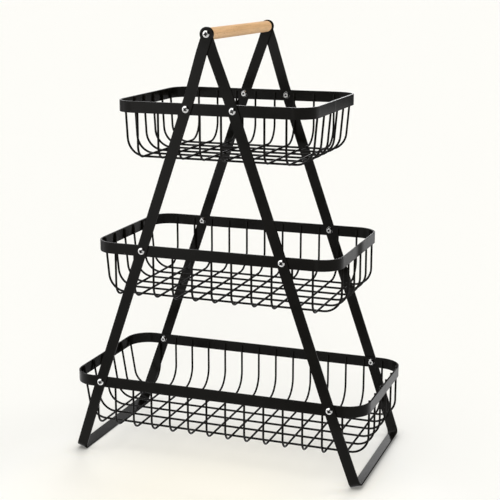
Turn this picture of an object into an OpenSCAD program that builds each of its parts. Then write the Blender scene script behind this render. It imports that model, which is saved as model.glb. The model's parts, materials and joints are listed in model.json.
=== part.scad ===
// Three-tier A-frame wire basket stand with a wooden carrying grip.
// Millimetres, +Z up, front is -Y, origin at the middle of the footprint on the floor.

/* [Leg frames] */
// Width of the flat bar that both leg frames are bent from
bar_w = 15; // [12:0.5:18]
// Thickness of the flat bar
bar_t = 2; // [1.5:0.1:2.5]
// Lean of each frame away from the vertical, degrees
lean = 19.15; // [18.5:0.05:20]
// Length of a leg from the crossing of the bars to the underside of its floor bar
leg_len = 640.5; // [632:0.5:660]
// Diameter of the round eye at the top of each leg
eye_d = 19; // [17:0.5:22]
// Height of the eye centre above the crossing of the leg centre lines
eye_rise = 3.5; // [2:0.1:5]
// Outside radius of the bends between the legs and the floor bar
bend_r = 9; // [5:0.5:12]
// How far each leg comes in from the rims on its way to the floor
foot_in = 4; // [1:0.5:6]
// Straight run of a leg above its bottom bend
foot_run = 4; // [2:1:10]
// Straight run of a leg above the top rim and below the bottom rim
rim_run = 4; // [2:1:10]
// Straight run of a leg below the bar that it crosses
cross_run = 1; // [1:1:6]
// Depth ground off the lowest edge of a floor bar so that it stands on a flat
foot_cut = 0.35; // [0.2:0.05:0.5]

/* [Tiers] */
// Distance from the grip axis down to the middle of the top rim
first_drop = 100; // [92:1:110]
// Distance from one rim to the next
tier_step = 200; // [180:1:205]
// How far each end of the top rim reaches past the legs' screws, before its length is rounded
top_reach = 110; // [100:1:120]
// How far each end of the middle rim reaches past the legs' screws
middle_reach = 77; // [69:1:86]
// How far each end of the bottom rim reaches past the legs' screws
bottom_reach = 49; // [44:1:60]
// Outside depth of every rim, front to back
rim_depth = 224; // [212:1:230]
// Height of the flat band that a rim is made of
rim_h = 15.5; // [13:0.5:18]
// Thickness of the rim band
rim_t = 2; // [1.5:0.1:2.5]
// Outside corner radius of the top rim
top_corner = 30; // [26:1:34]
// Outside corner radius of the middle rim
middle_corner = 32; // [28:1:34]
// Outside corner radius of the bottom rim
bottom_corner = 34; // [30:1:36]

/* [Wire baskets] */
// Diameter of the basket wires
wire_d = 2.5; // [2:0.1:3]
// Drop from the middle of the top rim to the wire floor
top_depth = 70; // [60:1:80]
// Drop from the middle of the middle rim to the wire floor
middle_depth = 69; // [60:1:80]
// Drop from the middle of the bottom rim to the wire floor
bottom_depth = 67.5; // [60:0.5:80]
// Distance from the ends of the top rim to the nearest front-to-back wires
top_end_gap = 36.5; // [34:0.1:42]
// Distance from the ends of the middle rim to the nearest front-to-back wires
middle_end_gap = 34.5; // [34:0.1:42]
// Distance from the ends of the bottom rim to the nearest front-to-back wires, before their offset
bottom_end_gap = 36.9; // [36:0.1:44]
// Distance from the front and back of a rim to the nearest side-to-side wires
side_gap = 34.5; // [34:0.5:44]
// Sideways offset of the bottom basket's front-to-back wires
bottom_shift = 5; // [0:0.5:5]
// Bend radius of the front-to-back wires at the front
front_bend = 16; // [10:1:24]
// Bend radius of the front-to-back wires at the back
back_bend = 28; // [20:1:30]
// Bend radius of the side-to-side wires at both ends
end_bend = 26; // [20:1:28]
// How far the left ends of the top side-to-side wires lean in on their way down, degrees
top_left_lean = 3; // [0:0.5:6]
// How far the right ends of the top side-to-side wires lean in
top_right_lean = 5; // [0:0.5:6]
// How far the left ends of the middle side-to-side wires lean in
middle_left_lean = 5; // [0:0.5:6]
// How far the right ends of the middle side-to-side wires lean in
middle_right_lean = 0; // [0:0.5:6]
// How far the left ends of the bottom side-to-side wires lean in
bottom_left_lean = 9; // [0:0.5:10]
// How far the right ends of the bottom side-to-side wires lean in
bottom_right_lean = 0; // [0:0.5:6]
// Gap between the ends of the front-to-back wires and the top of the rim
wire_under = 4; // [2:0.5:6]
// How far the ends of the side-to-side wires stand above the rim
wire_over = 1; // [0:0.5:2]
// How deep the welds sink one wire into the next or into the rim
weld = 0.25; // [0.15:0.05:0.4]

/* [Grip] */
// Diameter of the wooden grip
grip_d = 16; // [14:0.5:18]
// Length of the wooden grip
grip_len = 233.4; // [230:0.2:240]
// Radius of the rounded edge at both ends of the grip
grip_round = 2.5; // [1:0.5:3]
// Gap between the grip and the eye beside it, so that it can turn
grip_play = 0.3; // [0.2:0.1:0.5]
// Room left in the wood behind each insert
insert_room = 3; // [1:0.5:6]
// Length of the metal insert in each end of the grip
insert_len = 18; // [16:1:24]
// Outside diameter of the inserts
insert_d = 7; // [6.4:0.2:8]
// Clearance of the inserts over the screw shank, in diameter
insert_play = 0.16; // [0.1:0.02:0.2]

/* [Screws and nuts] */
// Shank diameter of every screw
screw_d = 4; // [3.6:0.2:4.4]
// Head diameter of every screw
head_d = 10; // [8.5:0.5:11]
// Head height of every screw
head_h = 2.6; // [2:0.1:3]
// Height of the plain edge around a screw head, measured across as a trim of its diameter
head_trim = 0.2; // [0.1:0.1:0.6]
// Length of each slot of the cross recess
recess_len = 5; // [4:0.2:5.6]
// Width of each slot of the cross recess
recess_w = 1.2; // [0.8:0.1:1.4]
// Depth of the cross recess
recess_depth = 1.5; // [1:0.1:1.8]
// Clearance of the holes in the bars and rims over the screw shank, in diameter
hole_play = 0.4; // [0.3:0.1:0.6]
// Width across the flats of the nuts
nut_af = 7; // [6.6:0.2:8]
// Diameter of the flange of the nuts
flange_d = 10; // [9:0.5:11]
// Thickness of the flange of the nuts
flange_h = 1.2; // [0.8:0.1:1.6]
// How much narrower the flange is on top than at its seat
flange_taper = 1; // [0.4:0.2:1.6]
// Full height of the nuts
nut_h = 4.2; // [3.6:0.2:5]
// Clearance of the nuts over the screw shank, in diameter
nut_play = 0.2; // [0.1:0.05:0.3]
// How far a screw end stays inside its nut
nut_recess = 0.8; // [0.4:0.2:1.2]
// Length of the shank of the two grip screws
grip_screw_len = 20; // [18:1:22]

/* [Hidden] */
$fn = 48;
axis_z = eye_rise + leg_len * cos(lean) + bar_w / 2 * sin(lean) - foot_cut;
cross_z = axis_z - eye_rise;
rim_y = rim_depth / 2;
eye_y = grip_len / 2 + grip_play;
drops = [first_drop, first_drop + tier_step, first_drop + 2 * tier_step];
reaches = [top_reach, middle_reach, bottom_reach];
corners = [top_corner, middle_corner, bottom_corner];
depths = [top_depth, middle_depth, bottom_depth];
end_gaps = [top_end_gap, middle_end_gap, bottom_end_gap];
cross_counts = [8, 11, 14];
shifts = [0, 0, bottom_shift];
left_leans = [top_left_lean, middle_left_lean, bottom_left_lean];
right_leans = [top_right_lean, middle_right_lean, bottom_right_lean];
long_count = 6;
long_pitch = (rim_depth - 2 * side_gap) / (long_count - 1);
flat_s = bar_w / 2 / tan(lean) + cross_run;
clear_s = rim_h / 2 / cos(lean) + bar_w / 2 * tan(lean) + rim_run;
hole_d = screw_d + hole_play;
wall_in = rim_t + wire_d / 2 - weld;
head_r = (head_d * head_d / 4 + head_h * head_h) / (2 * head_h);
shank_in = 0.5;
bend_step = 0.01;
collar = 0.1;
collar_gap = 0.04;
past = 10;
first_turn = 20;
end_turn = 35;
face_turn = 25;
tier_turn = 15;
paint = [0.03, 0.03, 0.03];
nickel = [0.75, 0.75, 0.74];
zinc = [0.7, 0.7, 0.69];
beech = [0.83, 0.62, 0.4];
brass = [0.72, 0.6, 0.32];

function along(i) = (drops[i] - eye_rise) / cos(lean);
function hole_x(i) = (drops[i] - eye_rise) * tan(lean);
function rim_z(i) = axis_z - drops[i];
function rim_len(i) = round(2 * (hole_x(i) + reaches[i]));
function cross_pitch(i) = (rim_len(i) - 2 * end_gaps[i]) / (cross_counts[i] - 1);
function head_turn(s, f, i) = first_turn + end_turn * s + face_turn * f + tier_turn * i;

// One leg drawn in its side view, with its inner face at top_y, rim_y and then the foot
module leg_side(top_y) {
    s_one = along(0) - clear_s;
    s_three = along(2) + clear_s;
    s_foot = leg_len - bend_r - foot_run;
    foot_y = rim_y - foot_in;
    polygon([
        [top_y, eye_rise * cos(lean)],
        [top_y, -flat_s],
        [rim_y, -s_one],
        [rim_y, -s_three],
        [foot_y, -s_foot],
        [foot_y, -(leg_len - bend_r)],
        [foot_y + bar_t, -(leg_len - bend_r)],
        [foot_y + bar_t, -s_foot],
        [rim_y + bar_t, -s_three],
        [rim_y + bar_t, -s_one],
        [top_y + bar_t, -flat_s],
        [top_y + bar_t, eye_rise * cos(lean)]
    ]);
}

// Quarter bend between a leg and the floor bar in the side view
module bend_side() {
    translate([rim_y - foot_in + bar_t - bend_r, -(leg_len - bend_r)])
        difference() {
            intersection() {
                circle(r = bend_r);
                translate([0, -bend_r])
                    square([bend_r, bend_r]);
            }
            circle(r = bend_r - bar_t);
        }
}

// Leg frame standing upright: both legs, the floor bar, the eyes and the screw holes
module upright_frame() {
    eye_x = eye_rise * sin(lean);
    eye_z = eye_rise * cos(lean);
    floor_half = rim_y - foot_in + bar_t - bend_r;
    difference() {
        union() {
            rotate([90, 0, 90])
                linear_extrude(height = bar_w, center = true)
                    union() {
                        leg_side(eye_y + bar_t);
                        bend_side();
                        mirror([1, 0])
                            leg_side(eye_y);
                        mirror([1, 0])
                            bend_side();
                        translate([-floor_half, -leg_len])
                            square([2 * floor_half, bar_t]);
                    }
            translate([eye_x, eye_y + bar_t, eye_z])
                rotate([-90, 0, 0])
                    cylinder(d = eye_d, h = bar_t);
            translate([eye_x, -eye_y, eye_z])
                rotate([90, 0, 0])
                    cylinder(d = eye_d, h = bar_t);
        }
        translate([eye_x, 0, eye_z])
            rotate([90, 0, 0])
                cylinder(d = hole_d, h = 2 * (eye_y + past), center = true);
        for (i = [0 : 2])
            translate([0, 0, -along(i)])
                rotate([90, 0, 0])
                    cylinder(d = hole_d, h = rim_depth + 2 * past, center = true);
    }
}

// Right leg frame leaning out to +X and ground flat where it meets the floor
module leaning_frame() {
    difference() {
        translate([0, 0, cross_z])
            rotate([0, -lean, 0])
                upright_frame();
        translate([0, -rim_depth, -past])
            cube([leg_len, 2 * rim_depth, past]);
    }
}

// Rounded rectangle from plain squares and circles
module rounded(len, depth, r) {
    union() {
        square([len - 2 * r, depth], center = true);
        square([len, depth - 2 * r], center = true);
        for (sx = [-1, 1])
            for (sy = [-1, 1])
                translate([sx * (len / 2 - r), sy * (depth / 2 - r)])
                    circle(r = r);
    }
}

// Rim band of one tier with its four screw holes
module rim(i) {
    difference() {
        translate([0, 0, rim_z(i) - rim_h / 2])
            linear_extrude(height = rim_h)
                difference() {
                    rounded(rim_len(i), rim_depth, corners[i]);
                    rounded(rim_len(i) - 2 * rim_t, rim_depth - 2 * rim_t, corners[i] - rim_t);
                }
        for (s = [-1, 1])
            translate([s * hole_x(i), 0, rim_z(i)])
                rotate([90, 0, 0])
                    cylinder(d = hole_d, h = rim_depth + 2 * past, center = true);
    }
}

// Distance from the middle of a U to the centre of one of its bends
function bend_x(half, drop, top, r, lean_in) =
    round((half - (top + drop - r) * tan(lean_in) - r / cos(lean_in)) / bend_step) * bend_step;

// Right side of a U in the XY plane: the bend at x and the end that leans in on its way down
module wire_side(x, drop, top, r, lean_in) {
    gap = lean_in > 0 ? collar_gap : 0;
    translate([x, -drop + r, 0]) {
        rotate([0, 0, 270])
            rotate_extrude(angle = 90 - lean_in)
                translate([r, 0])
                    circle(d = wire_d);
        rotate([0, 0, -lean_in])
            translate([r, gap, 0]) {
                rotate([-90, 0, 0])
                    cylinder(d = wire_d, h = (top + drop - r + r * sin(lean_in)) / cos(lean_in) - gap);
                if (lean_in > 0)
                    sphere(d = wire_d + collar);
            }
    }
}

// Wire bent into a U in the XY plane: floor along X, ends up +Y
module wire_u(half, drop, top, ra, rb, la, lb) {
    left = bend_x(half, drop, top, ra, la);
    right = bend_x(half, drop, top, rb, lb);
    union() {
        rotate([0, 180, 0])
            wire_side(left, drop, top, ra, la);
        wire_side(right, drop, top, rb, lb);
        translate([-left, -drop, 0])
            rotate([0, 90, 0])
                cylinder(d = wire_d, h = left + right);
    }
}

// Front-to-back wires of one basket
module cross_wires(i) {
    for (k = [0 : cross_counts[i] - 1])
        translate([shifts[i] + (k - (cross_counts[i] - 1) / 2) * cross_pitch(i), 0, rim_z(i)])
            rotate([90, 0, 90])
                wire_u(rim_y - wall_in, depths[i], rim_h / 2 - wire_under, front_bend, back_bend, 0, 0);
}

// Side-to-side wires of one basket, welded under the others
module long_wires(i) {
    for (k = [0 : long_count - 1])
        translate([0, (k - (long_count - 1) / 2) * long_pitch, rim_z(i)])
            rotate([90, 0, 0])
                wire_u(rim_len(i) / 2 - wall_in, depths[i] + wire_d - weld, rim_h / 2 + wire_over,
                    end_bend, end_bend, left_leans[i], right_leans[i]);
}

// Cross-recessed screw, head up from the seat at z 0 and shank down
module screw(len, turn) {
    difference() {
        intersection() {
            translate([0, 0, head_h - head_r])
                sphere(r = head_r);
            cylinder(d = head_d - head_trim, h = head_h);
        }
        for (q = [0, 90])
            rotate([0, 0, turn + q])
                translate([-recess_len / 2, -recess_w / 2, head_h - recess_depth])
                    cube([recess_len, recess_w, recess_depth + shank_in]);
    }
    translate([0, 0, -len])
        cylinder(d = screw_d, h = len + shank_in);
}

// Four screws of one tier, heads outside the legs at the front and at the back
module tier_screws(i) {
    shank = bar_t + rim_t + nut_h - nut_recess;
    for (s = [-1, 1])
        for (f = [-1, 1])
            translate([s * hole_x(i), f * (rim_y + bar_t), rim_z(i)])
                rotate([-90 * f, 0, 0])
                    screw(shank, head_turn(s, f, i));
}

// Flanged nut, seat at z 0
module nut() {
    difference() {
        union() {
            cylinder(d1 = flange_d, d2 = flange_d - flange_taper, h = flange_h);
            cylinder(d = nut_af / cos(30), h = nut_h, $fn = 6);
        }
        cylinder(d = screw_d + nut_play, h = 3 * nut_h, center = true);
    }
}

// Four nuts of one tier, inside the rim
module tier_nuts(i) {
    for (s = [-1, 1])
        for (f = [-1, 1])
            translate([s * hole_x(i), f * (rim_y - rim_t), rim_z(i)])
                rotate([90 * f, 0, 0])
                    nut();
}

// Round wooden grip with softened ends and a blind hole for each insert
module grip_body() {
    half = grip_len / 2;
    translate([0, 0, axis_z])
        rotate([90, 0, 0])
            difference() {
                union() {
                    cylinder(d = grip_d, h = grip_len - 2 * grip_round, center = true);
                    cylinder(d = grip_d - 2 * grip_round, h = grip_len, center = true);
                    for (s = [-1, 1])
                        translate([0, 0, s * (half - grip_round)])
                            rotate_extrude()
                                translate([grip_d / 2 - grip_round, 0])
                                    circle(r = grip_round);
                }
                for (s = [-1, 1])
                    translate([0, 0, s * half])
                        cylinder(d = insert_d, h = 2 * (insert_len + insert_room), center = true);
            }
}

// Metal inserts in the ends of the grip
module inserts() {
    for (s = [-1, 1])
        translate([0, s * (grip_len / 2 - insert_len / 2), axis_z])
            rotate([90, 0, 0])
                difference() {
                    cylinder(d = insert_d, h = insert_len, center = true);
                    cylinder(d = screw_d + insert_play, h = insert_len + past, center = true);
                }
}

// Screw that holds the two eyes at one end of the grip
module grip_screw(f) {
    translate([0, f * (eye_y + 2 * bar_t), axis_z])
        rotate([-90 * f, 0, 0])
            screw(grip_screw_len, head_turn(0, f, 1));
}

module left_leg_frame() {
    color(paint)
        rotate([0, 0, 180])
            leaning_frame();
}

module right_leg_frame() {
    color(paint)
        leaning_frame();
}

module top_rim() {
    color(paint)
        rim(0);
}

module top_cross_wires() {
    color(paint)
        cross_wires(0);
}

module top_long_wires() {
    color(paint)
        long_wires(0);
}

module top_screws() {
    color(nickel)
        tier_screws(0);
}

module top_nuts() {
    color(zinc)
        tier_nuts(0);
}

module middle_rim() {
    color(paint)
        rim(1);
}

module middle_cross_wires() {
    color(paint)
        cross_wires(1);
}

module middle_long_wires() {
    color(paint)
        long_wires(1);
}

module middle_screws() {
    color(nickel)
        tier_screws(1);
}

module middle_nuts() {
    color(zinc)
        tier_nuts(1);
}

module bottom_rim() {
    color(paint)
        rim(2);
}

module bottom_cross_wires() {
    color(paint)
        cross_wires(2);
}

module bottom_long_wires() {
    color(paint)
        long_wires(2);
}

module bottom_screws() {
    color(nickel)
        tier_screws(2);
}

module bottom_nuts() {
    color(zinc)
        tier_nuts(2);
}

module grip() {
    color(beech)
        grip_body();
}

module grip_inserts() {
    color(brass)
        inserts();
}

module front_grip_screw() {
    color(nickel)
        grip_screw(-1);
}

module back_grip_screw() {
    color(nickel)
        grip_screw(1);
}

left_leg_frame();
right_leg_frame();
top_rim();
top_cross_wires();
top_long_wires();
top_screws();
top_nuts();
middle_rim();
middle_cross_wires();
middle_long_wires();
middle_screws();
middle_nuts();
bottom_rim();
bottom_cross_wires();
bottom_long_wires();
bottom_screws();
bottom_nuts();
grip();
grip_inserts();
front_grip_screw();
back_grip_screw();
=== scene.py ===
"""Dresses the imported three-tier wire basket stand for its photograph. Metres, +Z up, front is -Y."""

import json
import math

import bpy
from mathutils import Matrix, Vector


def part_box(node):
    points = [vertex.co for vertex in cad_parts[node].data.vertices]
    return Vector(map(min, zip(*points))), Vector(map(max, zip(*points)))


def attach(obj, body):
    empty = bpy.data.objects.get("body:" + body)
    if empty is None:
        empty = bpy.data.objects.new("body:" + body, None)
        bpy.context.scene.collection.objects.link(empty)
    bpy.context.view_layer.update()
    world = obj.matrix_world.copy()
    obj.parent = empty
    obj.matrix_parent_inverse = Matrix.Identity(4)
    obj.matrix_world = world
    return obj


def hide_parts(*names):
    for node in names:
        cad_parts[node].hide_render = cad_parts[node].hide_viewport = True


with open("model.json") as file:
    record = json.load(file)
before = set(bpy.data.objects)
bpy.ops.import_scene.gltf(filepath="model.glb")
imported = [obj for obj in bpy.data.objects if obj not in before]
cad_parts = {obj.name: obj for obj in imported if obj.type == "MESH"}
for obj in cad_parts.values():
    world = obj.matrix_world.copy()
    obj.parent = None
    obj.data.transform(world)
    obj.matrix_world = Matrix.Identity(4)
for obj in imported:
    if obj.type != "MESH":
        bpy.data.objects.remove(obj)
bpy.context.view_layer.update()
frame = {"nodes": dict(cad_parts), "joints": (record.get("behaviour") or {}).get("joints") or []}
NODES = frame["nodes"]
TIERS = ("top", "middle", "bottom")
SIDES = (-1, 1)

# Camera, solved from the photograph
CAMERA_AZIMUTH = 20.234
CAMERA_ELEVATION = 13.103
CAMERA_DISTANCE = 1.75293
CAMERA_TARGET = Vector((0.0162, 0.0, 0.29715))
SENSOR_WIDTH = 36.0
CAMERA_LENS = 87.219

# Leg frames
LEAN = math.radians(19.15)
BAR_WIDTH = 0.015
BAR_THICKNESS = 0.002
LEG_LENGTH = 0.6405
EYE_RISE = 0.0035
EYE_RADIUS = 0.0095
BEND_RADIUS = 0.009
FOOT_IN = 0.004
FOOT_RUN = 0.004
RIM_RUN = 0.004
CROSS_RUN = 0.001
EDGE_ROUND = 0.00045
COAT = 0.0002
RIM_COAT = 0.0005
WIRE_COAT = 0.0003

# Rims and wires
RIM_THICKNESS = 0.002
RIM_CORNERS = {"top": 0.030, "middle": 0.032, "bottom": 0.034}
RIM_EDGE_ROUND = 0.00035
# Each seam: (place, near, far, gloss change, painted highlight); the top seam's painted highlight is a light
# line where its weld bead catches light.
RIM_SEAMS = {
    "top": (-0.006, 0.0008, 0.0022, 0.0, 0.035),
    "middle": (0.001, 0.004, 0.03, -0.19, 0.0),
    "bottom": (0.0, 0.001, 0.006, -0.05, 0.0),
}
WIRE_RADIUS = 0.00125
CROSS_COUNTS = {"top": 8, "middle": 11, "bottom": 14}
LONG_COUNT = 6
FRONT_BEND = 0.016
BACK_BEND = 0.028
END_BEND = 0.026
LEFT_LEANS = {"top": 3.0, "middle": 5.0, "bottom": 9.0}
RIGHT_LEANS = {"top": 5.0, "middle": 0.0, "bottom": 0.0}
WIRE_OVERS = {"top": -0.001, "middle": -0.001, "bottom": 0.001}
WIRE_SIDES = 12
BEND_STEPS = 10

# Screws, nuts and grip
SHANK_RADIUS = 0.002
HEAD_RADIUS = 0.0049
HEAD_HEIGHT = 0.0026
HEAD_DOME = 0.0085
HEAD_EDGE = 0.0004
RECESS_REACH = 0.0030
RECESS_HALF_WIDTH = 0.0009
RECESS_CENTRE = 0.0018
RECESS_DEPTH = 0.0022
NUT_FLATS = 0.007
NUT_HEIGHT = 0.0042
FLANGE_RADIUS = 0.005
FLANGE_HEIGHT = 0.0022
NUT_FACE_RADIUS = 0.0033
NUT_BORE = 0.00202
SCREW_END_HOLE = 0.0014
GRIP_RADIUS = 0.008
GRIP_END_ROUND = 0.0025
GRIP_SCREW_LENGTH = 0.020
TURN = 96

# Studio
WHITE = (1.0, 1.0, 1.0, 1.0)
BACKGROUND = (0.991, 0.982, 0.939, 1.0)
FLOOR_RADIUS = 60.0
FLOOR_LIFT = 0.4
# Painted warm pool of light on the floor, strongest at WARM_SPOT and gone by the end of WARM_REACH.
PAINTED_WARM_LIGHT = (1.0, 0.97, 0.9)
WARM_SPOT = (0.02, -0.2, 0.0)
WARM_REACH = (0.08, 0.3)
# Painted pool of light: the floor's colour is brightened near LIT_SPOT, fading out over LIT_REACH.
LIT_SPOT = (0.05, -0.34, 0.0)
LIT_REACH = (0.15, 0.42, 1.12, 1.0)
# Painted reflection: the floor that gloss rays see glows, with painted shade fading it past lines and in
# strips beside the bars.
MIRROR_REACH = 5.0
MIRROR_LEVEL = 1.1
MIRROR_LEVELS = ((0.0, 0.86), (0.6, 0.84), (1.15, 0.66), (1.45, 0.98), (3.9, 0.6), (4.2, 0.38), (4.5, 0.06))
SIDE_SLOPE = 0.78
SIDE_FADE = (-0.31, -0.24, 0.35, 0.0)
INNER_SLOPE = 0.25
INNER_FADE = (0.0, 0.22, 0.65, 0.0)
FRONT_SLOPE = 0.4
FRONT_SIDES = (-0.25, 0.2, 1.9, 0.45)
FRONT_DEPTH = (-3.0, -0.5, 1.9, 0.7)
FRONT_START = (-0.34, -0.3, 1.0, 0.0)
FRONT_EDGE_SLOPE = 0.35
FRONT_RIGHT_EDGE = (0.28, 0.38, 1.0, 0.0)
FRONT_LEFT_EDGE = (-1.0, -0.6, 0.0, 1.0)
# Painted contact shadow: the floor's colour darkens where the stand comes within CONTACT_REACH of it.
CONTACT_REACH = 0.03
CONTACT_SHADE = (0.35, 1.0, 0.4, 1.0)
# Painted shadow strips beside the right and left floor bars, in the reflected floor.
RIGHT_STRIP = (0.238, 0.018, 0.028)
LEFT_STRIP = (-0.203, 0.003, 0.007)
SKY_LIGHT = (0.45, 0.98, 0.05, 0.6)
HORIZON_SLOPE = 0.45
HORIZON_FADE = (0.05, 0.1, 1.1, 0.0)
BACK_SIDE = (-0.275, 0.955, 0.11)
BACK_GLOSS = (0.992, 0.997, 0.0, 1.6)
SOFTBOX_FADE = (0.38, 0.6, 0.0, 1.55)
LEFT_SIDE = (-0.75, -0.5, 0.42)
LEFT_GLOSS = (0.55, 0.8, 0.0, 1.5)
LAMPS = (
    ("overhead_lamp", (-0.2, -0.2, 1.0), 0.22, 36.0),
    ("back_lamp", (-0.2, 1.0, 0.9), 0.32, 26.0),
    ("right_lamp", (0.8, 0.6, 0.55), 0.25, 36.0),
    ("front_lamp", (0.45, -1.0, 0.3), 0.45, 30.0),
)


# Places, read from the frame


axis_z = frame["joints"][0]["pos_m"][2]
cross_z = axis_z - EYE_RISE
rim_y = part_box("top_rim")[1].y
eye_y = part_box("grip")[1].y + 0.0003


def rim_z(tier):
    low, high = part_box(f"{tier}_rim")
    return (low.z + high.z) / 2


def hole_x(tier):
    return (cross_z - rim_z(tier)) * math.tan(LEAN)


# Mesh helpers


class Shape:
    """Points and faces of one mesh, built from rings."""

    def __init__(self):
        self.points = []
        self.faces = []

    def loft(self, rings, capped=True, closed=False):
        """Joins equal rings of points in order, and caps the ends or closes the loop."""
        first, count = len(self.points), len(rings[0])
        for ring in rings:
            self.points.extend(ring)
        pairs = len(rings) if closed else len(rings) - 1
        for row in range(pairs):
            here = first + row * count
            there = first + (row + 1) % len(rings) * count
            for i in range(count):
                j = (i + 1) % count
                self.faces.append((here + i, here + j, there + j, there + i))
        if capped and not closed:
            last = first + (len(rings) - 1) * count
            self.faces.append(tuple(reversed(range(first, first + count))))
            self.faces.append(tuple(range(last, last + count)))

    def mesh(self, name):
        data = bpy.data.meshes.new(name)
        data.from_pydata([tuple(p) for p in self.points], [], self.faces)
        data.validate()
        data.update()
        return data


def circle(count, radius=1.0):
    return [
        (radius * math.cos(math.tau * i / count), radius * math.sin(math.tau * i / count))
        for i in range(count)
    ]


def arc(centre, radius, start, end, steps):
    """Points of an arc in a plane, in degrees, both ends included."""
    points = []
    for i in range(steps + 1):
        angle = math.radians(start + (end - start) * i / steps)
        points.append((centre[0] + radius * math.cos(angle), centre[1] + radius * math.sin(angle)))
    return points


def smooth_step(value):
    value = min(1.0, max(0.0, value))
    return value * value * (3 - 2 * value)


def piece(name, shape, material, body, nodes, soft_edges=0.0, flat=False):
    """A finished piece that rides on a body and stands for CAD nodes."""
    made = bpy.data.objects.new(name, shape.mesh(name))
    bpy.context.scene.collection.objects.link(made)
    made.data.materials.append(material)
    for polygon in made.data.polygons:
        polygon.use_smooth = not flat
    if soft_edges:
        bevel = made.modifiers.new("round_edges", "BEVEL")
        bevel.width = soft_edges
        bevel.segments = 3
        bevel.limit_method = "ANGLE"
        bevel.angle_limit = math.radians(50)
        made.modifiers.new("even_normals", "WEIGHTED_NORMAL")
    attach(made, body)
    if nodes:
        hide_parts(*nodes)
    return made


# Materials


class Tree:
    """A node tree and short calls for its nodes."""

    def __init__(self, owner):
        owner.use_nodes = True
        self.nodes = owner.node_tree.nodes
        self.links = owner.node_tree.links
        self.nodes.clear()

    def add(self, kind, inputs=(), **settings):
        """A new node. Each input is a value to set or a socket to link."""
        node = self.nodes.new(kind)
        for name, value in settings.items():
            setattr(node, name, value)
        for name, value in dict(inputs).items():
            if isinstance(value, bpy.types.NodeSocket):
                self.links.new(value, node.inputs[name])
            else:
                node.inputs[name].default_value = value
        return node

    def math(self, operation, first, second):
        return self.add("ShaderNodeMath", {0: first, 1: second}, operation=operation).outputs["Value"]

    def noise(self, vector, scale, detail=3.0, roughness=0.5):
        inputs = {"Vector": vector, "Scale": scale, "Detail": detail, "Roughness": roughness}
        return self.add("ShaderNodeTexNoise", inputs).outputs["Fac"]

    def remap(self, value, from_low, from_high, low, high, kind="SMOOTHSTEP"):
        """value from one range to another, held at both ends."""
        inputs = {"Value": value, "From Min": from_low, "From Max": from_high}
        inputs.update({"To Min": low, "To Max": high})
        return self.add("ShaderNodeMapRange", inputs, interpolation_type=kind).outputs["Result"]

    def ramp(self, factor, stops):
        """Colours by position; each stop is (position, colour)."""
        stops = list(stops)
        node = self.add("ShaderNodeValToRGB", {"Fac": factor})
        elements = node.color_ramp.elements
        while len(elements) < len(stops):
            elements.new(0.5)
        for element, (position, colour) in zip(elements, stops):
            element.position = position
            element.color = (*colour, 1.0)
        return node.outputs["Color"]

    def multiply(self, first, second, kind="MULTIPLY"):
        node = self.add("ShaderNodeMix", data_type="RGBA", blend_type=kind)
        node.inputs[0].default_value = 1.0
        self.links.new(first, node.inputs[6])
        self.links.new(second, node.inputs[7])
        return node.outputs[2]

    def rays(self, *kinds):
        """1 for the named kinds of ray, 0 for the others."""
        path = self.add("ShaderNodeLightPath")
        value = path.outputs[kinds[0]]
        for kind in kinds[1:]:
            value = self.math("MAXIMUM", value, path.outputs[kind])
        return value

    def choose(self, factor, first, second):
        return self.add("ShaderNodeMixShader", {0: factor, 1: first, 2: second}).outputs["Shader"]


class Shader(Tree):
    """A new material around one principled surface."""

    def __init__(self, name):
        self.material = bpy.data.materials.new(name)
        super().__init__(self.material)
        self.output = self.add("ShaderNodeOutputMaterial")
        self.surface = self.add("ShaderNodeBsdfPrincipled")
        self.links.new(self.surface.outputs["BSDF"], self.output.inputs["Surface"])

    def coordinates(self, scale=(1.0, 1.0, 1.0)):
        """Object coordinates, stretched by scale."""
        source = self.add("ShaderNodeTexCoord")
        inputs = {"Vector": source.outputs["Object"], "Scale": scale}
        return self.add("ShaderNodeMapping", inputs).outputs["Vector"]

    def spread(self, noise, low, high):
        """The busy middle of a noise, spread over low to high."""
        return self.remap(noise, 0.3, 0.7, low, high, "LINEAR")

    def bump(self, height, distance):
        inputs = {"Height": height, "Distance": distance, "Strength": 1.0}
        return self.add("ShaderNodeBump", inputs).outputs["Normal"]

    def painted_hollow_shade(self, reach, low, high, only_local):
        """Painted shade: dark in recesses narrower than reach, white on open faces."""
        shade = self.add("ShaderNodeAmbientOcclusion", {"Distance": reach}, only_local=only_local, samples=8)
        return self.ramp(shade.outputs["AO"], [(low, (0.02, 0.02, 0.02)), (high, (1.0, 1.0, 1.0))])

    def grey(self, value):
        """A colour with value in all three channels."""
        return self.add("ShaderNodeCombineXYZ", {k: value for k in "XYZ"}).outputs["Vector"]

    def sloped(self, first, second, slope):
        """first less slope times second."""
        return self.math("SUBTRACT", first, self.math("MULTIPLY", second, slope))

    def drive(self, socket, value):
        self.links.new(value, self.surface.inputs[socket])

    def fix(self, socket, value):
        self.surface.inputs[socket].default_value = value


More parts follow.
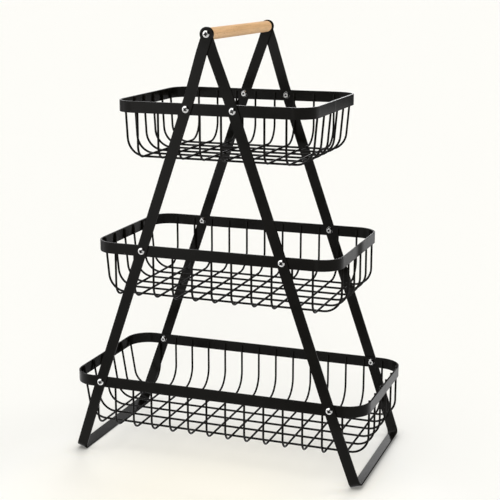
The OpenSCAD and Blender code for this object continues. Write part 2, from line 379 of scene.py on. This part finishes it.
def powder_coat(name, peel_scale, peel_depth, gloss_index, seam=None):
    """Satin black powder coat with a fine orange peel. A seam is a weld across a band, of other gloss, and
    its last value adds a painted highlight to the colour.
    """
    s = Shader(name)
    here = s.coordinates()
    broad = s.noise(here, 45.0, detail=4.0)
    colour = s.ramp(broad, [(0.3, (0.0030, 0.0026, 0.0018)), (0.7, (0.0046, 0.0040, 0.0030))])
    s.drive("Roughness", s.spread(broad, 0.15, 0.21))
    s.drive("Normal", s.bump(s.noise(here, peel_scale, detail=2.0), peel_depth))
    s.fix("IOR", gloss_index)
    if seam:
        place, near, far, change, light = seam
        split = s.add("ShaderNodeSeparateXYZ", {"Vector": here})
        off = s.math("ABSOLUTE", s.math("SUBTRACT", split.outputs["Y"], place), 0.0)
        right = s.remap(split.outputs["X"], 0.1, 0.11, 0.0, 1.0)
        mark = s.math("MULTIPLY", right, s.remap(off, near, far, 1.0, 0.0))
        s.drive("IOR", s.math("ADD", gloss_index, s.math("MULTIPLY", mark, change)))
        # painted highlight: lightens the colour along the seam
        colour = s.multiply(colour, s.grey(s.math("MULTIPLY", mark, light)), "ADD")
    s.drive("Base Color", colour)
    return s.material


def plating(name, dark, light, rough_low, rough_high, painted_hollow_shade=(0.004, 0.7, 0.95, True)):
    """Bright plated steel with faint clouding, and painted shade darkening its recesses."""
    s = Shader(name)
    here = s.coordinates()
    cloud = s.noise(here, 420.0, detail=5.0, roughness=0.6)
    open_metal = s.ramp(cloud, [(0.3, dark), (0.7, light)])
    s.drive("Base Color", s.multiply(open_metal, s.painted_hollow_shade(*painted_hollow_shade)))
    s.drive("Roughness", s.spread(cloud, rough_low, rough_high))
    s.drive("Normal", s.bump(s.noise(here, 2600.0, detail=2.0), 0.00001))
    s.fix("Metallic", 1.0)
    return s.material


def beech(name):
    """Oiled beech, grain along Y, with its short dark flecks."""
    s = Shader(name)
    broad = s.noise(s.coordinates((60.0, 3.5, 60.0)), 1.0, detail=4.0, roughness=0.55)
    fine = s.noise(s.coordinates((900.0, 26.0, 900.0)), 1.0, detail=3.0, roughness=0.6)
    fleck = s.noise(s.coordinates((1300.0, 190.0, 1300.0)), 1.0, detail=1.0)
    wood = s.ramp(broad, [(0.3, (0.76, 0.45, 0.215)), (0.7, (0.93, 0.60, 0.325))])
    streak = s.ramp(fine, [(0.3, (0.80, 0.78, 0.74)), (0.62, (1.0, 1.0, 1.0))])
    dash = s.ramp(fleck, [(0.27, (0.62, 0.5, 0.4)), (0.36, (1.0, 1.0, 1.0))])
    s.drive("Base Color", s.multiply(s.multiply(wood, streak), dash))
    s.drive("Roughness", s.spread(fine, 0.48, 0.6))
    s.drive("Normal", s.bump(fine, 0.00006))
    return s.material


frame_paint = powder_coat("frame_paint", 1500.0, 0.00003, 1.24)
rim_paints = {t: powder_coat(f"{t}_rim_paint", 1500.0, 0.00003, 1.24, RIM_SEAMS[t]) for t in TIERS}
wire_paint = powder_coat("wire_paint", 1900.0, 0.00002, 1.22)
screw_plating = plating("screw_plating", (0.84, 0.83, 0.81), (0.94, 0.93, 0.91), 0.08, 0.16)
# The nuts' painted shade reaches past the nut, so it also darkens where each nut sits against the rim.
nut_plating = plating(
    "nut_plating", (0.78, 0.78, 0.76), (0.92, 0.91, 0.89), 0.14, 0.24, (0.006, 0.66, 0.94, False)
)
insert_brass = plating("insert_brass", (0.55, 0.42, 0.18), (0.72, 0.58, 0.28), 0.2, 0.34)
grip_wood = beech("grip_wood")


# Leg frames


def leg_line(top_middle):
    """Middle line of one leg, (distance out, height along the leg), from the eye to the floor bar."""
    half = BAR_THICKNESS / 2
    run_below_cross = BAR_WIDTH / 2 / math.tan(LEAN) + CROSS_RUN
    rim_low, rim_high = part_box("top_rim")
    past_rim = (rim_high.z - rim_low.z) / 2 / math.cos(LEAN) + BAR_WIDTH / 2 * math.tan(LEAN) + RIM_RUN
    top_s = (cross_z - rim_z("top")) / math.cos(LEAN) - past_rim
    bottom_s = (cross_z - rim_z("bottom")) / math.cos(LEAN) + past_rim
    foot_out = rim_y - FOOT_IN + half
    bend = BEND_RADIUS - half
    line = [
        (top_middle, -run_below_cross),
        (rim_y + half, -top_s),
        (rim_y + half, -bottom_s),
        (foot_out, -(LEG_LENGTH - BEND_RADIUS - FOOT_RUN)),
    ]
    return line + arc((foot_out - bend, -(LEG_LENGTH - BEND_RADIUS)), bend, 0, -90, 8)


def eye_stations(top_middle):
    """Outline of the eye and the bar under it: (out, height, left, right), top first."""
    eye_x, eye_h = EYE_RISE * math.sin(LEAN), EYE_RISE * math.cos(LEAN)
    half = BAR_WIDTH / 2 + COAT
    stations = []
    for i in range(25):
        angle = math.radians(86 - 172 * i / 24)
        height, reach = eye_h + EYE_RADIUS * math.sin(angle), EYE_RADIUS * math.cos(angle)
        left, right = eye_x - reach, eye_x + reach
        if height <= eye_h:
            left, right = min(-half, left), max(half, right)
        stations.append((top_middle, height, left, right))
    return stations


def strip(stations):
    """A flat bar of even thickness through stations (out, height, left, right)."""
    shape, rings, half = Shape(), [], BAR_THICKNESS / 2
    for i, (out, height, left, right) in enumerate(stations):
        before, after = stations[max(0, i - 1)], stations[min(len(stations) - 1, i + 1)]
        along = Vector((after[0] - before[0], after[1] - before[1])).normalized()
        sides = [
            Vector((b[0] - a[0], b[1] - a[1]))
            for a, b in ((before, stations[i]), (stations[i], after))
        ]
        sides = [side.normalized() for side in sides if side.length > 1e-9]
        reach = half / max(0.5, min(side.dot(along) for side in sides))
        normal = Vector((-along.y, along.x)) * reach
        rings.append([
            Vector((left, out + normal.x, height + normal.y)),
            Vector((right, out + normal.x, height + normal.y)),
            Vector((right, out - normal.x, height - normal.y)),
            Vector((left, out - normal.x, height - normal.y)),
        ])
    shape.loft(rings)
    return shape


def leg_frame(name, turn):
    """One bent bar: eye, leg, floor bar, leg, eye. turn 0 is the right frame, 180 the left one."""
    half = BAR_WIDTH / 2 + COAT
    outer, inner = eye_y + BAR_THICKNESS * 1.5, eye_y + BAR_THICKNESS * 0.5
    back = eye_stations(outer) + [(y, z, -half, half) for y, z in leg_line(outer)]
    front = eye_stations(inner) + [(y, z, -half, half) for y, z in leg_line(inner)]
    stations = back + [(-y, z, left, right) for y, z, left, right in reversed(front)]
    shape = strip(stations)
    place = (
        Matrix.Rotation(math.radians(turn), 4, "Z")
        @ Matrix.Translation((0, 0, cross_z))
        @ Matrix.Rotation(-LEAN, 4, "Y")
    )
    shape.points = [place @ p for p in shape.points]
    for p in shape.points:
        p.z = max(0.0, p.z)
    return piece(f"{name}_bar", shape, frame_paint, "stand", [name], EDGE_ROUND)


# Rims


def rim_outline(half_length, half_depth, corner, steps=16):
    """Rounded rectangle, anticlockwise, with the outward normal at each point."""
    points = []
    for cx, cy, start in ((1, 1, 0), (-1, 1, 90), (-1, -1, 180), (1, -1, 270)):
        for i in range(steps + 1):
            angle = math.radians(start + 90 * i / steps)
            normal = Vector((math.cos(angle), math.sin(angle)))
            centre = Vector((cx * (half_length - corner), cy * (half_depth - corner)))
            points.append((centre + normal * corner, normal))
    return points


def rim(tier):
    """Flat band on edge with rounded edges, drawn round the rounded rectangle."""
    low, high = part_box(f"{tier}_rim")
    r, t = RIM_EDGE_ROUND, RIM_THICKNESS + RIM_COAT
    top, bottom = high.z + COAT, low.z - COAT
    section = (
        arc((-r, top - r), r, 0, 90, 4)
        + arc((-t + r, top - r), r, 90, 180, 4)
        + arc((-t + r, bottom + r), r, 180, 270, 4)
        + arc((-r, bottom + r), r, 270, 360, 4)
    )
    rings = [
        [Vector((*(at + normal * out), z)) for out, z in section]
        for at, normal in rim_outline(high.x, high.y, RIM_CORNERS[tier])
    ]
    shape = Shape()
    shape.loft(rings, closed=True)
    made = piece(f"{tier}_rim_band", shape, rim_paints[tier], "stand", [f"{tier}_rim"])
    made.modifiers.new("even_normals", "WEIGHTED_NORMAL")
    return made


# Wires


def u_end(side, end, top, floor, bend, lean):
    """One end of a wire U, from its top to its floor, as points (across, up). It leans in on its way down."""
    angle = math.radians(lean)
    in_by = (top - floor - bend) * math.tan(angle) + bend / math.cos(angle)
    start = -lean if side > 0 else 180 + lean
    finish = -90 if side > 0 else 270
    return [(end, top)] + arc((end - side * in_by, floor + bend), bend, start, finish, BEND_STEPS)


def u_line(left, right, top, floor, bends, leans=(0.0, 0.0)):
    """A wire bent into a U, as points (across, up)."""
    first = u_end(-1, left, top, floor, bends[0], leans[0])
    return first + list(reversed(u_end(1, right, top, floor, bends[1], leans[1])))


def tube(shape, line, radius, sides=WIRE_SIDES):
    """A round wire along points in one plane, with its cut ends broken."""
    chamfer = radius * 0.3
    normal = None
    rings = []
    for i, at in enumerate(line):
        before, after = line[max(0, i - 1)], line[min(len(line) - 1, i + 1)]
        along = (after - before).normalized()
        if normal is None:
            normal = (line[1] - line[0]).cross(line[2 + BEND_STEPS // 2] - line[0]).normalized()
        other = along.cross(normal)
        ring = [normal * x * radius + other * y * radius for x, y in circle(sides)]
        if i == 0:
            rings.append([at + p * (1 - chamfer / radius) for p in ring])
            rings.append([at + along * chamfer + p for p in ring])
        elif i == len(line) - 1:
            rings.append([at - along * chamfer + p for p in ring])
            rings.append([at + p * (1 - chamfer / radius) for p in ring])
        else:
            rings.append([at + p for p in ring])
    shape.loft(rings)


def evenly(low, high, count):
    return [low + (high - low) * i / (count - 1) for i in range(count)]


def cross_places(tier):
    low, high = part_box(f"{tier}_cross_wires")
    return evenly(low.x + WIRE_RADIUS, high.x - WIRE_RADIUS, CROSS_COUNTS[tier])


def long_places(tier):
    low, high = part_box(f"{tier}_long_wires")
    return evenly(low.y + WIRE_RADIUS, high.y - WIRE_RADIUS, LONG_COUNT)


def cross_wires(tier):
    """Front-to-back wires."""
    node = f"{tier}_cross_wires"
    low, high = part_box(node)
    r = WIRE_RADIUS
    line = u_line(low.y + r, high.y - r, high.z, low.z + r, (FRONT_BEND, BACK_BEND))
    shape = Shape()
    for x in cross_places(tier):
        tube(shape, [Vector((x, y, z)) for y, z in line], r + WIRE_COAT)
    return piece(f"{node}_drawn", shape, wire_paint, "stand", [node])


def long_wires(tier):
    """Side-to-side wires."""
    node = f"{tier}_long_wires"
    low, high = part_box(node)
    r = WIRE_RADIUS
    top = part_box(f"{tier}_rim")[1].z + WIRE_OVERS[tier]
    leans = (LEFT_LEANS[tier], RIGHT_LEANS[tier])
    line = u_line(low.x + r, high.x - r, top, low.z + r, (END_BEND, END_BEND), leans)
    shape = Shape()
    for y in long_places(tier):
        tube(shape, [Vector((x, y, z)) for x, z in line], r + WIRE_COAT)
    return piece(f"{node}_drawn", shape, wire_paint, "stand", [node])


def blob(shape, centre, size, rows=5, sides=8):
    """A small rounded bead of weld."""
    rings = []
    for i in range(rows):
        angle = math.radians(-75 + 150 * i / (rows - 1))
        rings.append([
            centre + Vector((
                x * size.x * math.cos(angle), y * size.y * math.cos(angle), size.z * math.sin(angle)
            ))
            for x, y in circle(sides)
        ])
    shape.loft(rings)


def welds(tier):
    """Weld beads where the wires cross and where they meet the rim."""
    shape = Shape()
    cross_low, cross_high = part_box(f"{tier}_cross_wires")
    long_low, long_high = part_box(f"{tier}_long_wires")
    r = WIRE_RADIUS
    between = (cross_low.z + long_low.z) / 2 + r
    crossing = Vector((r * 1.25, r * 1.25, r * 0.72))
    for x in cross_places(tier):
        for y in long_places(tier):
            blob(shape, Vector((x, y, between)), crossing)
    rim_low, rim_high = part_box(f"{tier}_rim")
    for z in (rim_low.z + 0.0035, cross_high.z - 0.0025):
        for x in cross_places(tier):
            for y in (cross_low.y + r * 0.35, cross_high.y - r * 0.35):
                blob(shape, Vector((x, y, z)), Vector((r * 1.45, r * 0.5, r * 1.3)))
    ends = ((long_low.x + r * 0.35, LEFT_LEANS[tier]), (long_high.x - r * 0.35, RIGHT_LEANS[tier]))
    for x, lean in ends:
        for z in (rim_low.z + 0.0035, rim_high.z - 0.0025):
            if (rim_high.z - z) * math.tan(math.radians(lean)) < r * 0.5:
                for y in long_places(tier):
                    blob(shape, Vector((x, y, z)), Vector((r * 0.5, r * 1.45, r * 1.3)))
    return piece(f"{tier}_weld_beads", shape, wire_paint, "stand", [])


# Screws and nuts


def head_height(radius, angle):
    """Height of a domed head with its cross recess, above the seat."""
    dome = HEAD_HEIGHT - HEAD_DOME + math.sqrt(HEAD_DOME**2 - radius**2)
    dome -= HEAD_EDGE * max(0.0, 1 - (HEAD_RADIUS - radius) / HEAD_EDGE) ** 2
    off = min(abs(radius * math.sin(angle)), abs(radius * math.cos(angle)))
    arm = smooth_step((RECESS_HALF_WIDTH - off) / 0.0003 + 0.5)
    arm *= smooth_step((RECESS_REACH - radius) / 0.0009)
    centre = smooth_step((RECESS_CENTRE - radius) / 0.0004 + 0.5)
    return dome - RECESS_DEPTH * max(arm, centre)


def screw(shape, place, length, turn):
    """Truss-head screw with rolled threads; place puts its seat and its outward axis."""
    rings = []
    pitch, crest = 0.0007, SHANK_RADIUS

    def ring(radius, height):
        return [place @ Vector((x, y, height)) for x, y in circle(TURN, radius)]

    rings.append(ring(SCREW_END_HOLE * 0.4, -length + 0.0018))
    rings.append(ring(SCREW_END_HOLE * 0.9, -length + 0.0004))
    rings.append(ring(SCREW_END_HOLE, -length))
    rings.append(ring(crest * 0.95, -length))
    turns = int((length - 0.001) / pitch)
    for i in range(turns):
        base = -length + 0.0004 + i * pitch
        rings.append(ring(crest * 0.84, base))
        rings.append(ring(crest, base + pitch * 0.5))
    rings.append(ring(crest, 0.0))
    rings.append(ring(HEAD_RADIUS - 0.0001, 0.0))
    for i in range(25):
        radius = HEAD_RADIUS * (1 - i / 25) + 0.00002
        rings.append([
            place @ Vector((
                radius * math.cos(math.tau * k / TURN),
                radius * math.sin(math.tau * k / TURN),
                head_height(radius, math.tau * k / TURN - turn),
            ))
            for k in range(TURN)
        ])
    shape.loft(rings)


def nut(shape, place):
    """Hexagon nut with a flange, chamfered, threads and a screw end inside."""
    def hexagon(chamfer):
        ring = []
        for k in range(TURN):
            angle = math.tau * k / TURN
            around = (angle + math.pi / 6) % (math.pi / 3) - math.pi / 6
            ring.append((min(NUT_FLATS / 2 / math.cos(around), chamfer), angle))
        return ring

    def level(polar, height):
        return [place @ Vector((r * math.cos(a), r * math.sin(a), height)) for r, a in polar]

    def round_(radius):
        return [(radius, math.tau * k / TURN) for k in range(TURN)]

    corner = NUT_FLATS / 2 / math.cos(math.pi / 6)
    rings = [
        level(round_(NUT_BORE), 0.0),
        level(round_(FLANGE_RADIUS - 0.0002), 0.0),
        level(round_(FLANGE_RADIUS), 0.0002),
        level(round_(FLANGE_RADIUS), 0.0004),
        level(round_(FLANGE_RADIUS - 0.0003), 0.0006),
        level(hexagon(corner), FLANGE_HEIGHT),
        level(hexagon(corner), NUT_HEIGHT - 0.0010),
        level(hexagon(corner * 0.93), NUT_HEIGHT - 0.0006),
        level(round_(NUT_FACE_RADIUS), NUT_HEIGHT),
        level(round_(NUT_BORE), NUT_HEIGHT),
    ]
    shape.loft(rings, closed=True)


def fixing_turn(side, face, tier):
    return math.radians(20 + 35 * side + 25 * face + 15 * TIERS.index(tier))


def outward(x, y, z, face):
    """Puts local +Z on the outward side of face, 1 for the back and -1 for the front."""
    return Matrix.Translation((x, y, z)) @ Matrix.Rotation(math.radians(-90 * face), 4, "X")


def tier_fixings(tier):
    screws, nuts = Shape(), Shape()
    length = BAR_THICKNESS + RIM_THICKNESS + NUT_HEIGHT - 0.0002
    for side in SIDES:
        for face in SIDES:
            x, z = side * hole_x(tier), rim_z(tier)
            seat = face * (rim_y + BAR_THICKNESS)
            screw(screws, outward(x, seat, z, face), length, fixing_turn(side, face, tier))
            nut(nuts, outward(x, face * (rim_y - RIM_THICKNESS), z, -face))
    piece(f"{tier}_truss_screws", screws, screw_plating, "stand", [f"{tier}_screws"])
    piece(f"{tier}_flange_nuts", nuts, nut_plating, "stand", [f"{tier}_nuts"], flat=True)


def grip_screws():
    for name, face in (("front", -1), ("back", 1)):
        shape = Shape()
        seat = face * (eye_y + 2 * BAR_THICKNESS)
        screw(shape, outward(0.0, seat, axis_z, face), GRIP_SCREW_LENGTH, math.radians(35 + 25 * face))
        node = f"{name}_grip_screw"
        piece(f"{node}_truss", shape, screw_plating, "stand", [node])


# Grip


def grip():
    """Turned wooden grip with rounded ends and a bore for each insert."""
    low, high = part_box("grip")
    insert_low, insert_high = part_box("grip_inserts")
    bore = (insert_high.z - insert_low.z) / 2 + 0.00005
    depth = 0.021
    r = GRIP_END_ROUND
    end = arc((high.y - r, GRIP_RADIUS - r), r, 90, 0, 8)
    side = [(high.y - depth, bore * 0.2), (high.y - depth, bore), (high.y, bore)]
    back = side + [(y, radius) for y, radius in reversed(end)]
    body = evenly(high.y - r, low.y + r, 25)[1:-1]
    profile = back + [(y, GRIP_RADIUS) for y in body] + [(-y, radius) for y, radius in reversed(back)]
    shape = Shape()
    shape.loft([
        [Vector((x, y, axis_z + z)) for x, z in circle(64, radius)] for y, radius in profile
    ])
    made = piece("grip_turned", shape, grip_wood, "grip", ["grip"])
    made.modifiers.new("even_normals", "WEIGHTED_NORMAL")


# Studio


def plain_floor():
    """A round pale floor with painted contact shadow, a painted warm pool of light and a painted lit patch.
    Gloss sees a painted reflection instead, a glow that fades far behind, past a line on the right and beside
    the bars.
    """
    bpy.ops.mesh.primitive_circle_add(vertices=96, radius=FLOOR_RADIUS, fill_type="NGON")
    floor = bpy.context.object
    floor.name = "studio_floor"
    s = Shader("studio_floor")
    s.nodes.remove(s.surface)
    here = s.coordinates()
    away, far = (
        s.add("ShaderNodeVectorMath", {0: here, 1: spot}, operation="DISTANCE").outputs["Value"]
        for spot in (WARM_SPOT, LIT_SPOT)
    )
    tints = [[c * t for c, t in zip(BACKGROUND, tint)] for tint in (PAINTED_WARM_LIGHT, WHITE[:3])]
    # painted contact shadow
    near = s.add("ShaderNodeAmbientOcclusion", {"Distance": CONTACT_REACH}, samples=16).outputs["AO"]
    contact = s.remap(near, *CONTACT_SHADE, "LINEAR")
    # painted pool of light near LIT_SPOT, over the painted contact shadow
    shade = s.math("MULTIPLY", contact, s.remap(far, *LIT_REACH, "LINEAR"))
    # painted warm pool of light round WARM_SPOT
    colour = s.multiply(s.ramp(away, zip(WARM_REACH, tints)), s.grey(shade))
    level = sky_level() + sum(
        lamp_level * Vector(place).normalized().z for _, place, lamp_level, _ in LAMPS
    )
    share = (1 - FLOOR_LIFT) / level
    diffuse = s.add("ShaderNodeBsdfDiffuse", {"Color": s.multiply(colour, s.grey(share))})
    lift = s.add("ShaderNodeEmission", {"Color": colour, "Strength": FLOOR_LIFT})
    seen = s.add("ShaderNodeAddShader", {0: diffuse.outputs["BSDF"], 1: lift.outputs["Emission"]})

    split = s.add("ShaderNodeSeparateXYZ", {"Vector": here})
    x, y = split.outputs["X"], split.outputs["Y"]
    beside = s.remap(s.math("ABSOLUTE", y, 0.0), 0.16, 0.2, 1.0, 0.0)
    # painted shade in the reflected floor: darker past a line on the right, behind, in front and beside the
    # bars
    darker = [
        (s.remap(x, 0.1, 0.25, 0.0, 1.0), s.remap(s.sloped(y, x, SIDE_SLOPE), *SIDE_FADE)),
        (s.remap(y, 0.12, 0.24, 0.0, 1.0), s.remap(s.sloped(x, y, INNER_SLOPE), *INNER_FADE)),
    ]
    across = s.sloped(x, y, FRONT_SLOPE)
    level_in_front = s.math(
        "MINIMUM", s.remap(across, *FRONT_SIDES, "LINEAR"), s.remap(y, *FRONT_DEPTH, "LINEAR")
    )
    in_front = s.math("MULTIPLY", s.remap(y, *FRONT_START), s.remap(across, *FRONT_LEFT_EDGE))
    right_edge = s.remap(s.sloped(x, y, FRONT_EDGE_SLOPE), *FRONT_RIGHT_EDGE)
    darker.append((s.math("MULTIPLY", in_front, right_edge), s.math("SUBTRACT", 1.0, level_in_front)))
    for place, inside, outside in (RIGHT_STRIP, LEFT_STRIP):
        off = s.math("ABSOLUTE", s.math("SUBTRACT", x, place), 0.0)
        darker.append((beside, s.remap(off, inside, outside, 1.0, 0.0)))
    # painted reflection: the floor glows for gloss rays, stepped by distance behind
    levels = [(place / MIRROR_REACH, (level,) * 3) for place, level in MIRROR_LEVELS]
    shade = s.math("MULTIPLY", s.ramp(s.math("DIVIDE", y, MIRROR_REACH), levels), MIRROR_LEVEL)
    for place, dark in darker:
        shade = s.math("MULTIPLY", shade, s.math("SUBTRACT", 1.0, s.math("MULTIPLY", place, dark)))
    painted_floor_reflection = s.add("ShaderNodeEmission", {"Color": WHITE, "Strength": shade})
    floor_shader = s.choose(s.rays("Is Glossy Ray"), seen.outputs["Shader"], painted_floor_reflection.outputs["Emission"])
    s.links.new(floor_shader, s.output.inputs["Surface"])
    floor.data.materials.append(s.material)


def sky_level(steps=200):
    """Light that the sky alone gives an open floor, where 1 shows a white as white."""
    low, high, dark, bright = SKY_LIGHT
    heights = [(i + 0.5) / steps for i in range(steps)]
    return sum(
        2 * z * (dark + (bright - dark) * smooth_step((z - low) / (high - low))) / steps for z in heights
    )


def studio_world():
    """A soft sky for the surfaces, a plain background, and for gloss a dark room with three lights in it."""
    world = bpy.data.worlds.new("studio")
    bpy.context.scene.world = world
    t = Tree(world)
    output = t.add("ShaderNodeOutputWorld")
    direction = t.add("ShaderNodeTexCoord").outputs["Generated"]

    def towards(side, *fade):
        inputs = {0: direction, 1: Vector(side).normalized()}
        facing = t.add("ShaderNodeVectorMath", inputs, operation="DOT_PRODUCT")
        return t.remap(facing.outputs["Value"], *fade)

    sky = towards((0, 0, 1), *SKY_LIGHT)
    split = t.add("ShaderNodeSeparateXYZ", {"Vector": direction})
    x, y, z = (split.outputs[k] for k in "XYZ")
    rise = t.math("ADD", z, t.math("MULTIPLY", x, HORIZON_SLOPE))
    horizon = t.math("MULTIPLY", t.remap(rise, *HORIZON_FADE), t.remap(y, 0.3, 0.6, 0.0, 1.0))
    horizon = t.math("MULTIPLY", horizon, t.remap(x, -0.12, 0.05, 1.0, 0.0))
    softbox = t.math("MULTIPLY", t.remap(z, *SOFTBOX_FADE), t.remap(y, -0.4, 0.0, 0.0, 1.0))
    softbox = t.math("MULTIPLY", softbox, t.remap(x, -0.05, 0.25, 1.0, 0.0))
    room = t.math("ADD", t.math("ADD", horizon, softbox), towards(LEFT_SIDE, *LEFT_GLOSS))
    room = t.math("ADD", room, towards(BACK_SIDE, *BACK_GLOSS))
    soft, plain, gloss = (
        t.add("ShaderNodeBackground", {"Color": colour, "Strength": strength}).outputs["Background"]
        for colour, strength in ((WHITE, sky), (BACKGROUND, 1.0), (WHITE, room))
    )
    lit = t.choose(t.rays("Is Camera Ray", "Is Transmission Ray"), soft, plain)
    t.links.new(t.choose(t.rays("Is Glossy Ray"), lit, gloss), output.inputs["Surface"])


def far_lamp(name, place, level, spread):
    """A broad lamp far off, so that the floor is lit evenly. level is what a facing white gains."""
    data = bpy.data.lights.new(name, "SUN")
    data.energy = level * math.pi
    data.angle = math.radians(spread)
    lamp = bpy.data.objects.new(name, data)
    bpy.context.scene.collection.objects.link(lamp)
    lamp.location = place
    lamp.rotation_euler = Vector(place).to_track_quat("Z", "Y").to_euler()
    lamp.visible_glossy = False


def photo_camera():
    azimuth, elevation = math.radians(CAMERA_AZIMUTH), math.radians(CAMERA_ELEVATION)
    back = Vector((
        math.sin(azimuth) * math.cos(elevation),
        -math.cos(azimuth) * math.cos(elevation),
        math.sin(elevation),
    ))
    data = bpy.data.cameras.new("photo_camera")
    data.sensor_width = SENSOR_WIDTH
    data.lens = CAMERA_LENS
    camera = bpy.data.objects.new("photo_camera", data)
    bpy.context.scene.collection.objects.link(camera)
    camera.location = CAMERA_TARGET + back * CAMERA_DISTANCE
    camera.rotation_euler = (-back).to_track_quat("-Z", "Y").to_euler()
    bpy.context.scene.camera = camera


leg_frame("right_leg_frame", 0)
leg_frame("left_leg_frame", 180)
for tier in TIERS:
    rim(tier)
    cross_wires(tier)
    long_wires(tier)
    welds(tier)
    tier_fixings(tier)
grip_screws()
grip()
inserts = NODES["grip_inserts"]
inserts.data.materials.clear()
inserts.data.materials.append(insert_brass)

plain_floor()
studio_world()
for lamp in LAMPS:
    far_lamp(*lamp)
photo_camera()
bpy.context.scene.view_settings.view_transform = "Standard"
